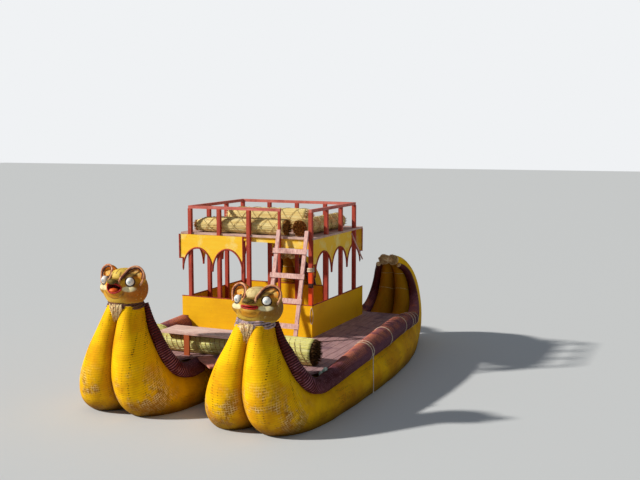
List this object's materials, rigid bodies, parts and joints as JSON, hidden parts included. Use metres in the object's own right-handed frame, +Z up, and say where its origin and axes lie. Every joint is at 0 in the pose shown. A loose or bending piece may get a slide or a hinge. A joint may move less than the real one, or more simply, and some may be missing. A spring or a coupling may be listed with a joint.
{
  "type": "reed boat",
  "caption": "Twin hulled reed boat with curled bows that carry animal heads, a board deck and an open two storey cabin with a ladder.",
  "frame": {"origin": "middle of the boat's length and beam, at the height of the hulls' lowest point", "axes": "+Z up, the bows point to -Y, +X to the side where the deck is widest; left and right in the names are as seen from in front of the bows"},
  "size_m": [4.6845, 8.3085, 3.599],
  "materials": {
    "reed_yellow": "painted reed, matt",
    "reed_maroon": "painted reed, matt",
    "reed_dry": "dry reed, matt",
    "reed_green": "fresh reed, matt",
    "paint_red": "painted wood, worn",
    "paint_orange": "painted wood",
    "paint_yellow": "painted board",
    "board_pale": "weathered boards",
    "board_grey": "weathered boards",
    "head_reed": "painted reed, matt",
    "ear_rim": "painted reed, matt",
    "eye_white": "gloss paint",
    "nose_brown": "painted reed, matt",
    "rope_white": "twisted rope"
  },
  "bodies": {
    "root": {"back_panel": "paint_yellow", "back_post_1": "paint_red", "back_post_2": "paint_red", "back_post_3": "paint_red", "back_post_4": "paint_red", "back_post_5": "paint_red", "back_valance": "paint_yellow", "bench": "board_pale", "corner_batten": "board_pale", "deck": "board_grey", "deck_beam_1": "board_grey", "deck_beam_2": "board_grey", "deck_reed_roll": "reed_green", "fascia_beam": "paint_yellow", "front_panel": "paint_yellow", "front_post_1": "paint_red", "front_post_2": "paint_red", "front_post_3": "paint_red", "front_post_4": "paint_red", "front_post_5": "paint_orange", "front_valance": "paint_yellow", "gangplank": "board_pale", "ladder": "board_pale", "left_gunwale_roll": "reed_maroon", "left_head": "head_reed", "left_head_left_ear": "ear_rim", "left_head_left_eye": "eye_white", "left_head_nose": "nose_brown", "left_head_right_ear": "ear_rim", "left_head_right_eye": "eye_white", "left_hull_inner_bundle": "reed_yellow", "left_hull_outer_bundle": "reed_yellow", "left_inner_bow_roll": "reed_maroon", "left_inner_stern_roll": "reed_maroon", "left_panel": "paint_yellow", "left_post_1": "paint_red", "left_post_2": "paint_red", "left_valance": "paint_yellow", "right_gunwale_roll": "reed_maroon", "right_head": "head_reed", "right_head_left_ear": "ear_rim", "right_head_left_eye": "eye_white", "right_head_nose": "nose_brown", "right_head_right_ear": "ear_rim", "right_head_right_eye": "eye_white", "right_hull_inner_bundle": "reed_yellow", "right_hull_outer_bundle": "reed_yellow", "right_inner_bow_roll": "reed_maroon", "right_inner_stern_roll": "reed_maroon", "right_panel": "paint_yellow", "right_post_1": "paint_red", "right_post_2": "paint_red", "right_valance": "paint_yellow", "rope_knot": "rope_white", "rope_tail": "rope_white", "top_rail": "paint_red", "upper_floor": "board_pale", "upper_front_roll": "reed_dry", "upper_middle_roll": "reed_dry", "upper_right_roll": "reed_dry"}
  },
  "joints": []
}
